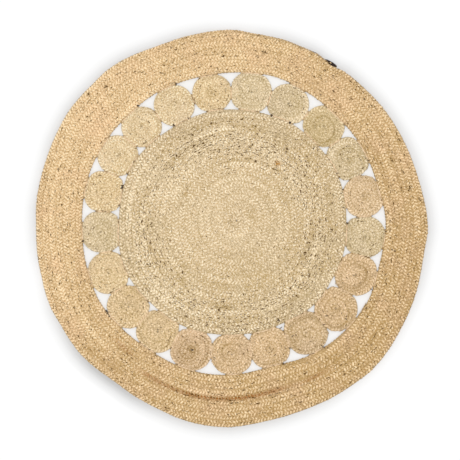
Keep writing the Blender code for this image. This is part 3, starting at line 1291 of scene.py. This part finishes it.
@dataclass(frozen=True)
class EndBinding:
    """The bound end of the border's braid: dark thread wound round a short tapered end."""

    node: str = "end_binding"
    turns: int = 20
    thread: float = 1.6 * MM
    stretch: float = 1.28  # of the solid's length, with the loose end of the thread
    steps_per_turn: int = 12
    sides: int = 6
    core_length: float = 0.95  # of the winding's
    core_share: float = 0.72  # of its thickness
    core_tone: float = 0.1
    core_steps: int = 21
    core_sides: int = 10
    tuft_share: float = -0.08  # where the jute's pale end sticks out, as a share of half the length
    tuft_length: float = 4.6 * MM
    tuft_width: float = 3.0 * MM
    tuft_half_height: float = 1.1 * MM
    tuft_depth: float = 0.4 * MM  # of its middle, under the solid's top
    tuft_tone: float = -0.25
    tuft_steps: int = 9
    tuft_sides: int = 8
    tuft_taper: float = 0.96  # how nearly it closes at its ends
    end_taper: float = 0.93  # how much thinner the binding is at its ends
    bluntness: float = 1.7
    least: float = 0.05

    def build(self, thread: bpy.types.Material, jute: bpy.types.Material) -> list[bpy.types.Object]:
        """Make the thread's winding and the tip of jute inside it.

        Args:
            thread: Finish of the thread.
            jute: Finish of the tip.

        Returns:
            The pieces.
        """
        low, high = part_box(self.node)
        points = np.array([v.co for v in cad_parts[self.node].data.vertices])
        middle = points[:, :2].mean(0)
        flat = points[:, :2] - middle
        along = np.linalg.svd(flat, full_matrices=False)[2][0]
        along = along * (1.0 if along[0] > 0 else -1.0)
        across = np.array([-along[1], along[0]])
        reach = (flat @ along).max() * self.stretch
        half = (flat @ across).max() - self.thread / 2
        rise = (high.z - low.z) / 2

        count = self.turns * self.steps_per_turn + 1
        share = np.linspace(-1.0, 1.0, count)
        turned = np.linspace(0.0, 2 * np.pi * self.turns, count)
        side = half * self.swell(share) * np.sin(turned)
        lift = (rise - self.thread / 2) * self.swell(share) * np.cos(turned)
        level = middle + along * (share * (reach - self.thread))[:, None] + across * side[:, None]
        winding, radius = Fabric(), self.thread / 2
        path = at_height(level, rise + lift)
        winding.tube(path, radius, radius, self.sides, 3, 0.0, np.append(along, 0.0))
        wound = winding.piece("end_binding_thread", thread)

        core = Fabric()
        share = np.linspace(-1.0, 1.0, self.core_steps)
        thick = self.swell(share) * self.core_share
        path = at_height(middle + along * (share * reach * self.core_length)[:, None], rise)
        core.tube(path, half * thick, rise * thick, self.core_sides, 4, self.core_tone)
        share = np.linspace(-1.0, 1.0, self.tuft_steps)
        rounded = np.sqrt(1 - self.tuft_taper * share**2)
        level = middle + along * (self.tuft_share * reach + share * self.tuft_length / 2)[:, None]
        path = at_height(level, high.z - self.tuft_depth)
        half, rise = self.tuft_width / 2 * rounded, self.tuft_half_height * rounded
        core.tube(path, half, rise, self.tuft_sides, 5, self.tuft_tone)
        tip = core.piece("end_binding_tip", jute)
        for piece in (wound, tip):
            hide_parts(self.node)
        return [wound, tip]

    def swell(self, share: np.ndarray) -> np.ndarray:
        """How thick the binding is along its length, against its middle."""
        return np.sqrt(np.clip(1 - self.end_taper * np.abs(share) ** self.bluntness, self.least, 1.0))


@dataclass(frozen=True)
class Studio:
    """A pale floor, a soft even dome of light with a soft lamp overhead, and the camera."""

    view_width: float = 460 * 2.291 * MM  # of the photo's 460 pixels, 2.291 mm each
    middle: tuple[float, float] = (-4.4 * MM, -3.15 * MM)
    lens: float = 85.0
    sensor: float = 36.0
    view_end: float = 60.0
    floor_radius: float = 6.0
    floor_segments: int = 120
    floor_mottle: float = 3.0  # patches to a metre
    # Painted shadow: how much darker the paper is painted (linear), by distance from the rim in mm; inside
    # the rim it is painted shade in the gaps between the coils.
    shades: tuple[tuple[float, float], ...] = (
        (-70, 0.10), (-30, 0.10), (-12, 0.21), (3, 0.213), (7, 0.215), (9.2, 0.188), (13.7, 0.165),
        (18.3, 0.120), (22.9, 0.090), (29.8, 0.058), (36.7, 0.018), (46, 0.004), (60, 0.0),
    )
    # Where the rim's shade is stronger or fainter, as a share of it.
    shade_swells: tuple[Patch, ...] = patches(
        (231, 0, 15, ALL_ROUND, 0.9), (315, 0, 17, ALL_ROUND, -0.6), (195, 0, 11, ALL_ROUND, -0.6),
        (60, 0, 10, ALL_ROUND, 0.2), (90, 0, 9, ALL_ROUND, -0.45), (165, 0, 8, ALL_ROUND, -0.35),
        (335, 0, 10, ALL_ROUND, -0.3),
    )
    dome: float = 0.60
    horizon: float = 1.2  # how much brighter the dome is low down
    horizon_top: float = 0.45  # sine of the height above which it is even
    lamp_height: float = 3.4
    lamp_size: float = 1.6
    lamp_power: float = 61.0

    def build(self) -> None:
        """Make the floor, the lights and the camera."""
        self.floor()
        self.lights()
        camera = bpy.data.cameras.new("camera")
        camera.lens, camera.sensor_width, camera.clip_end = self.lens, self.sensor, self.view_end
        self.hang("camera", camera, self.view_width * self.lens / self.sensor)
        bpy.context.scene.camera = bpy.data.objects["camera"]

    def hang(self, name: str, data: bpy.types.ID, height: float) -> None:
        """Hang a camera or a lamp over the middle of the view, facing down.

        Args:
            name: Name of the object.
            data: The camera or the lamp.
            height: How far over the floor it hangs, in metres.
        """
        holder = bpy.data.objects.new(name, data)
        holder.location = (*self.middle, height)
        bpy.context.scene.collection.objects.link(holder)

    def floor(self) -> None:
        """Lay a matt white paper floor, with a painted shadow close round the rug's rim and painted shade
        in the gaps between its coils.
        """
        rim, count = Outline.about(np.zeros(2), rim_points()), self.floor_segments
        bearings = bearings_round(count)
        loops = [rim.points(bearings, -away * MM) for away, _ in self.shades]
        level = np.concatenate([np.zeros((1, 2)), *loops, self.floor_radius * directions(bearings)])
        sides = [(i, (i + 1) % count) for i in range(count)]
        faces = [(0, 1 + i, 1 + j) for i, j in sides]
        for low in range(1, 1 + len(loops) * count, count):
            high = low + count
            faces += [(low + i, high + i, high + j, low + j) for i, j in sides]
        mesh = bpy.data.meshes.new("floor")
        mesh.from_pydata([(x, y, 0.0) for x, y in level], [], faces)
        shade = mesh.attributes.new("shade", "FLOAT", "POINT")
        strength = 1 + sum(swell.at(bearings, np.zeros(count)) for swell in self.shade_swells)
        rings = [value * (strength if away > 0 else np.ones(count)) for away, value in self.shades]
        values = np.concatenate([[self.shades[0][1]], *rings, np.zeros(count)])
        shade.data.foreach_set("value", values.astype(np.float32))
        made = bpy.data.materials.new("white_paper_floor")
        tree = cleared(made)
        place = add_node(tree, "TexCoord", {}, {}, "Object")
        faint = {"Scale": self.floor_mottle, "Detail": 2.0}
        mottle = add_node(tree, "TexNoise", faint, {"Vector": place})
        stops = [(0.0, linear("FAFAFA")), (1.0, linear("FDFDFD"))]
        paper = add_node(tree, "ValToRGB", {"stops": stops}, {"Fac": mottle})
        # Painted shadow: the paper is mixed towards black by the shade painted on its vertices.
        near = add_node(tree, "Attribute", {"attribute_name": "shade"}, {}, "Fac")
        black = {"data_type": "RGBA", MIX_B: linear("000000")}
        colour = add_node(tree, "Mix", black, {0: near, MIX_A: paper}, MIX_OUT)
        matt = {"Roughness": 0.9, "Specular IOR Level": 0.1}
        shader = add_node(tree, "BsdfPrincipled", matt, {"Base Color": colour})
        add_node(tree, "OutputMaterial", {}, {"Surface": shader})
        mesh.materials.append(made)
        floor = bpy.data.objects.new("floor", mesh)
        bpy.context.scene.collection.objects.link(floor)

    def lights(self) -> None:
        """Make a white dome, a little brighter low down, and a large soft lamp straight above."""
        world = bpy.data.worlds.new("studio_dome")
        tree = cleared(world)
        way = add_node(tree, "TexCoord", {}, {}, "Generated")
        height = add_node(tree, "SeparateXYZ", {}, {"Vector": way}, "Z")
        fall = {"From Min": 0.0, "From Max": self.horizon_top, "To Min": self.horizon, "To Max": 1.0}
        level = add_node(tree, "MapRange", fall, {"Value": height})
        light = add_node(tree, "Math", {"operation": "MULTIPLY", 1: self.dome}, {0: level})
        back = add_node(tree, "Background", {"Color": linear("FFFFFF")}, {"Strength": light})
        add_node(tree, "OutputWorld", {}, {"Surface": back})
        bpy.context.scene.world = world
        lamp = bpy.data.lights.new("overhead_softbox", "AREA")
        lamp.shape, lamp.size, lamp.energy = "DISK", self.lamp_size, self.lamp_power
        self.hang("overhead_softbox", lamp, self.lamp_height)
        settings = bpy.context.scene.view_settings
        settings.view_transform, settings.look = "Standard", "None"


# The rug


class CoilTone(Enum):
    """Tones of the lengths of braid that the small coils are wound from."""

    GOLDEN = ("FCE0BB", "DEC198", "AF8F5B", "D8BC99")
    GREYISH = ("FEEBCA", "E0CCA7", "B19A6A", "DAC7A8")
    OLIVE = ("F7E2BB", "D9C398", "AA915B", "D3BE99")
    PINKISH = ("FCE2BF", "DEC39C", "AF915F", "D8BE9D")
    YELLOW = ("FFEFC9", "E9D0A6", "BA9E69", "E3CBA7")
    PALE = ("FFF4D1", "ECD5AE", "BDA371", "E6D0AF")
    STRAW = ("FFE6BF", "E1C79C", "B2955F", "DBC29D")
    BROWN = ("F4D8B5", "D6B992", "A78755", "D0B493")

    def finish(self) -> PlaitedJute:
        """The finish of this tone."""
        return PlaitedJute(f"plaited_jute_{self.name.lower()}", *self.value)


SMALL_MARKS = Marks(painted_light_slope=0.10, grain_base=0.72, bark_base=-0.04)
SMALL_START, SMALL_START_SHIFT = 130, 77  # bearing where the first one's braid starts, and on to the next


@dataclass(frozen=True)
class CoilLook:
    """What sets one small coil apart."""

    tone: CoilTone
    shift: float = 0.0  # how much paler its braid is than the tone
    eye: float = 0.0  # painted shade in its eye: how much paler its eye is than the rest of it, mostly darker
    rings: float = 1.0  # how strongly painted shade in its creases and grooves shows its rows, against the usual

    def coil(self, number: int) -> BraidedCoil:
        """Describe the small coil of this look.

        Args:
            number: Its number round the ring, from 1.

        Returns:
            The coil, ready to be built.
        """
        # The creases and grooves of a small coil get a strong painted shade, so that its rows show.
        plait = Plait(
            period=20.5 * MM, usual_width=13.3 * MM, start_relief=0.8, end_relief=0.8,
            edge_overlap=-0.4 * MM, row_tone=0.07, crease_tone=-0.40 * self.rings,
            groove_tone=-0.36 * self.rings,
        )
        start = SMALL_START + SMALL_START_SHIFT * (number - 1)
        return BraidedCoil(
            f"small_coil_{number:02d}",
            "small_coil_jute",
            Winding(start=start, steps=66, per_turn=20, core=0.12, taper=5),
            plait,
            replace(SMALL_MARKS, tone_base=self.shift),
            seed=number,
            eye_shading=self.eye,
            heart=Heart(high=5.5 * MM, segments=72, rings=3),
        )


SMALL_LOOKS = (
    CoilLook(CoilTone.YELLOW, 0.06, -0.17), CoilLook(CoilTone.GREYISH, 0.125, -0.16),
    CoilLook(CoilTone.GREYISH, 0.055, -0.19, 0.8), CoilLook(CoilTone.OLIVE, 0.185, -0.16, 1.5),
    CoilLook(CoilTone.GREYISH, 0.015, -0.12), CoilLook(CoilTone.PINKISH, 0.145, -0.12),
    CoilLook(CoilTone.GREYISH, 0.08, -0.3), CoilLook(CoilTone.GOLDEN, 0.055, -0.24, 1.5),
    CoilLook(CoilTone.GOLDEN, 0.105, -0.12, 1.3), CoilLook(CoilTone.PINKISH, 0.055, -0.01, 1.3),
    CoilLook(CoilTone.GOLDEN, 0.125, -0.17), CoilLook(CoilTone.GOLDEN, 0.11, 0.19),
    CoilLook(CoilTone.BROWN, 0.275, -0.44, 2.2), CoilLook(CoilTone.STRAW, 0.125, -0.21),
    CoilLook(CoilTone.STRAW, 0.035, -0.01), CoilLook(CoilTone.YELLOW, 0.115, -0.11, 0.8),
    CoilLook(CoilTone.GREYISH, 0.075, -0.07, 0.8), CoilLook(CoilTone.YELLOW, 0.015, 0.05),
    CoilLook(CoilTone.PALE, 0.065, -0.15), CoilLook(CoilTone.PALE, 0.055, -0.07, 0.8),
    CoilLook(CoilTone.PALE, 0.015, 0.05, 0.8),
)

# Half a dark fleck's length and half its width in mm, and how surely it is dark.
FLECK = (3.6, 1.6, 0.5)
# Bearings of the flecks, and radii in mm.
BORDER_FLECKS = (
    (275.2, 420), (172.2, 392), (8.7, 432), (307.6, 421), (336.5, 416), (300, 387), (23.3, 397),
    (352, 377), (13, 417), (79.6, 411), (242, 388), (302.7, 407), (131.8, 432), (142.6, 417),
    (196.1, 433),
)
CENTRE_FLECKS = (
    (127.5, 210), (264.7, 205), (304.3, 169), (100.9, 244), (85, 250), (349.3, 175), (359.1, 228),
    (39.8, 223), (222, 152), (260.2, 189), (303.4, 193), (342, 175), (55.2, 219), (328.2, 206),
    (107.4, 234), (113.6, 231), (77.1, 189), (280.6, 155), (311, 208), (2.6, 180), (204.7, 206),
)
# The brown streak in one row of the border: bearing, radius in mm, strength of each part.
STREAK_PART = (3.6, 4.6)  # half its length in degrees, and half its width in mm
STREAK = (
    (226.8, 369, 0.6), (231.3, 368, 0.25), (239.6, 386.5, 0.6), (244, 388, 0.5), (248.6, 389.5, 0.5),
    (253, 391, 0.6), (257.7, 392, 0.8), (262.5, 390.5, 0.8), (267.3, 389.5, 0.85), (272.2, 388, 1.0),
    (276.3, 387, 0.7), (280.4, 385.5, 0.5), (284.2, 384.5, 0.5), (287.9, 383, 0.3),
    (296.0, 388.5, 0.3), (299.3, 387.5, 0.45), (303.8, 393, 0.2),
)


def flecks(places: tuple[tuple[float, float], ...]) -> tuple[Patch, ...]:
    """Small places that are surely dark, each longer along its row."""
    return tuple(spot(bearing, radius, *FLECK) for bearing, radius in places)


def stretches(*rows: tuple[float, ...]) -> tuple[Stretch, ...]:
    """Stretches from rows of bearing, radius, spread and strength, and True if on one side."""
    return tuple(Stretch(*row) for row in rows)


BORDER_STRETCHES = stretches(
    (262.0, 391, 10, -0.13), (225.0, 430, 9, -0.22), (138.0, 423, 30, 0.11), (132.0, 364, 30, 0.11),
    (186.0, 410, 18, 0.13), (12.0, 373, 30, -0.1), (54.0, 430, 9, -0.15), (21.0, 397, 9, -0.21, True),
    (213.0, 392, 18, 0.1), (258.0, 372, 9, 0.13), (75.0, 414, 9, -0.17, True), (72.0, 372, 9, 0.12),
    (300.0, 381, 14, -0.07), (81.0, 424, 18, 0.08), (105.0, 404, 9, -0.12),
    (33.0, 386, 18, 0.11, True), (339.0, 388, 9, 0.11), (309.0, 364, 9, 0.11),
    (228.0, 420, 9, -0.15, True),
)
CENTRE_STRETCHES = stretches(
    (339.9, 174, 30, -0.2), (69.0, 163, 30, -0.19), (354.8, 99, 30, -0.26, True),
    (34.4, 61, 30, -0.16), (255.6, 128, 30, 0.16), (262.0, 143, 18, -0.2),
    (21.4, 153, 30, -0.21, True), (97.5, 226, 9, 0.28), (226.5, 161, 9, -0.27),
    (265.0, 179, 9, -0.26), (306.0, 181, 30, 0.15), (123.3, 210, 18, -0.26, True),
    (82.8, 151, 18, 0.17), (299.1, 239, 9, -0.24), (203.8, 140, 30, 0.13), (112.0, 238, 9, -0.23),
    (281.8, 54, 30, -0.17, True), (80.2, 189, 30, -0.17, True), (191.5, 157, 30, -0.17, True),
    (54.8, 221, 9, -0.21), (20.3, 229, 9, -0.21), (339.3, 208, 30, -0.16, True),
    (133.8, 152, 30, 0.11), (155.6, 198, 9, 0.2), (77.5, 210, 30, 0.11), (353.6, 39, 30, 0.15, True),
    (98.5, 107, 30, 0.15, True), (74.0, 79, 30, 0.15, True), (245.8, 168, 9, 0.19),
    (227.0, 235, 9, 0.19), (144.8, 128, 9, -0.27, True), (102.5, 164, 9, -0.27, True),
)

BORDER_MARKS = Marks(
    bark_base=-0.024,
    grain_base=0.97,
    tones=patches(
        (0, 396, 14, 14, -0.05), (290, 372, 25, 14, -0.04), (310, 396, 14, 12, -0.05),
        (130, 372, 25, 14, 0.05), (195, 410, 22, 25, 0.07), (100, 422, 40, 16, -0.07),
    ),
    barks=patches(
        (45, 425, 18, 18, 0.03), (275, 395, 30, 14, 0.04), (259, 391, 17, 5, 0.07),
        (283, 385, 8, 5, 0.05), (350, 372, 20, 12, 0.03), (90, 400, 16, 14, 0.02),
    )
    + flecks(BORDER_FLECKS),
    stains=patches(*((bearing, radius, *STREAK_PART, strength) for bearing, radius, strength in STREAK)),
    painted_light_slope=0.37,
    painted_light_bearing=130.0,
)
RIM_RISE = RimRise(
    swells=patches(
        (231, 450, 13, 200, 2.6), (60, 450, 9, 200, 0.8), (315, 450, 16, 200, -0.9),
        (195, 450, 10, 200, -0.9), (150, 450, 20, 200, 0.6),
    ),
)
CENTRE_MARKS = Marks(
    bark_base=-0.045,
    grains=patches((0, 0, ALL_ROUND, 120, -0.3), (0, 210, ALL_ROUND, 45, 0.12)),
    barks=patches(
        (0, 200, ALL_ROUND, 52, 0.102), (150, 190, 28, 50, -0.030), (60, 175, 50, 20, 0.025),
        (118, 212, 20, 16, 0.040), (90, 243, 30, 9, 0.045), (272, 232, 20, 12, 0.035),
    )
    + flecks(CENTRE_FLECKS),
    tones=patches(
        (0, 205, ALL_ROUND, 45, 0.075), (0, 190, ALL_ROUND, 20, 0.04), (0, 138, ALL_ROUND, 40, -0.05),
        (0, 200, 60, 55, -0.03), (292, 80, 55, 30, -0.09), (65, 232, 32, 18, -0.08),
        (20, 226, 28, 18, -0.06), (165, 222, 30, 18, -0.05),
    )
    + (spot(116, 13.6, 9, 9, -0.20), spot(1, 72, 7, 6, -0.12), spot(40, 64, 8, 6, -0.10)),
    stains=(spot(54.8, 180.8, 5.0, 4.6, 3.0), spot(142.8, 130.8, 4.0, 3.0, 0.35)),
    painted_light_slope=0.22,
)

CENTRE = CentreCoil(
    "centre_coil",
    "centre_jute",
    Winding(start=342.5, steps=853, per_turn=48, core=0.12, taper=8),
    Plait(
        period=23.6 * MM, start_relief=0.75, end_relief=1.05, lead=0.3, lean=-0.12 * MM, row_tone=0.065,
        edge_overlap=-0.4 * MM,
    ),
    CENTRE_MARKS,
    seed=31,
    apart=True,
    heart=Heart(high=5.7 * MM),
    stretches=CENTRE_STRETCHES,
)
BORDER = BorderCoil(
    "border_coil",
    "border_jute",
    Winding(start=329, steps=486, per_turn=72, core=0.0, taper=12),
    Plait(
        period=22.6 * MM, lift=2.35 * MM, strand_half_height=1.75 * MM, depth_shading=0.24, lead=0.3,
        lean=0.25 * MM, row_tone=0.04, crease_tone=-0.08,
    ),
    BORDER_MARKS,
    seed=32,
    apart=True,
    rise=RIM_RISE,
    stretches=BORDER_STRETCHES,
)

# Dark stitches, partly painted shade at the gaps' corners: bearing, radius in mm, and how often the thread
# goes round.
STITCHES = (
    (159.5, 268, 6), (61.2, 275, 3), (127.5, 353, 3), (2.4, 264, 2), (296.9, 236, 2), (119.5, 270, 2),
    (252.1, 293, 2), (185, 342, 2), (70.6, 272, 2), (111.2, 353, 2), (56.4, 365, 1), (307.7, 345, 1),
    (313.9, 305, 1), (296, 254, 1), (17.7, 263, 1), (169.3, 349, 1), (358.7, 352, 1), (352.3, 369, 1),
    (168.7, 264, 1), (299.4, 283, 1), (42.2, 264, 1), (27.5, 271, 1), (44.3, 261, 1), (152.7, 269, 1),
    (111.7, 270, 1), (10.5, 259, 1), (19.2, 268, 1), (26.3, 349, 1), (196.4, 244, 1), (219.6, 329, 1),
    (262.3, 299, 1), (275.3, 234, 1), (290.8, 332, 1), (295.7, 304, 1), (307.3, 338, 1), (317.2, 295, 1),
    (321.4, 333, 1), (336.2, 349, 1), (338.6, 299, 1),
)
# Partly painted shade: dark threads laid in a slit that lies deep in shade.
SLIT_SHADE_THREADS = Bundle(start=(-288.5, -186.0), end=(-274.7, -209.4))
DARK_SEWING_AND_SHADE = DarkSewingAndShade(tuple(Stitch(*row) for row in STITCHES), (SLIT_SHADE_THREADS,))


def main() -> None:
    """Build the rug and its studio."""
    logging.basicConfig(level=logging.INFO, format="%(message)s")
    log = logging.getLogger("rug")
    Studio().build()

    border_jute = PlaitedJute("plaited_jute_border", "FFE6BC", "E6C89B", "B6945C", "E1BD93").material()
    centre_jute = PlaitedJute(
        "plaited_jute_centre", "FFF0D0", "E7D1AE", "B99F6C", "E1CCA7", stain="C08C40"
    ).material()
    thread = SpunThread("dark_thread", "4A352A", "1E1410").material()
    tones = {tone: tone.finish().material() for tone in CoilTone}

    small = [look.coil(number) for number, look in enumerate(SMALL_LOOKS, 1)]
    made = CENTRE.build(centre_jute) + BORDER.build(border_jute)
    for coil, look in zip(small, SMALL_LOOKS):
        made += coil.build(tones[look.tone])
    made += EndBinding().build(thread, border_jute)
    twine = SeamTwine()
    seams = twine.seams(small, [CENTRE, BORDER])
    made.append(twine.build(seams, tones[CoilTone.BROWN]))
    made.append(DARK_SEWING_AND_SHADE.build(seams, thread))
    for piece in made:
        log.info("%s: %d faces", piece.name, len(piece.data.polygons))


if __name__ == "__main__":
    main()
